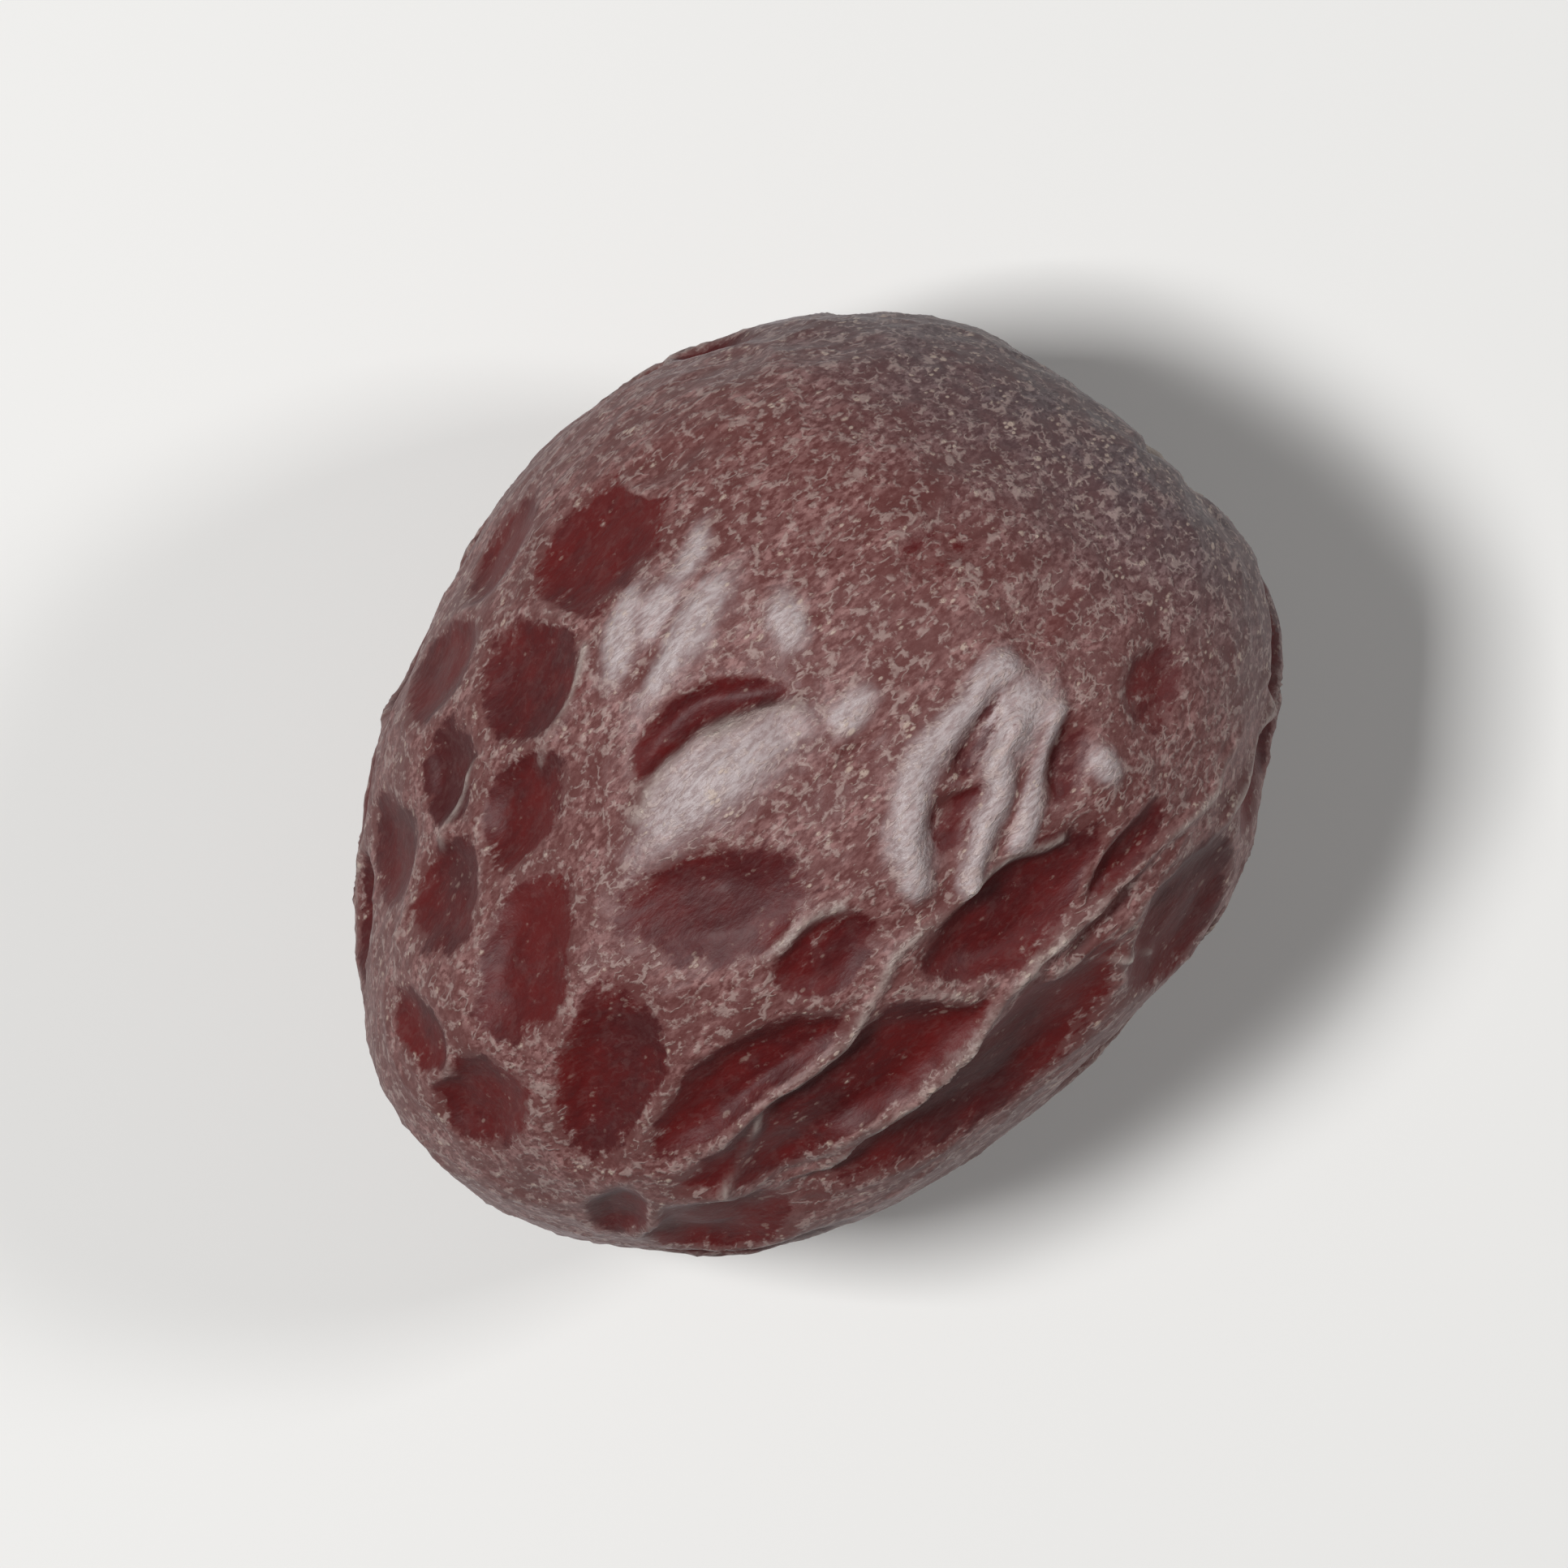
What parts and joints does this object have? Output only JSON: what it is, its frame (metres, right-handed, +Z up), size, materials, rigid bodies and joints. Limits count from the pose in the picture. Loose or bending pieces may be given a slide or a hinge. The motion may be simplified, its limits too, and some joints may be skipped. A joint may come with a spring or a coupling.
{
  "type": "dried jujube",
  "caption": "Dried jujube lying on its side: a blunt oval fruit with a wrinkled, netted skin, a ringed stem scar in a shallow cavity and a small style tip.",
  "frame": {"origin": "centre of the bounding box from above, on the surface that the fruit rests on", "axes": "+X along the fruit's length towards its stem end, +Z up as it lies"},
  "size_m": [0.0286, 0.0232, 0.0217],
  "materials": {
    "skin": "satin, dusted with a pale bloom"
  },
  "bodies": {
    "root": {"jujube": "skin"}
  },
  "joints": []
}
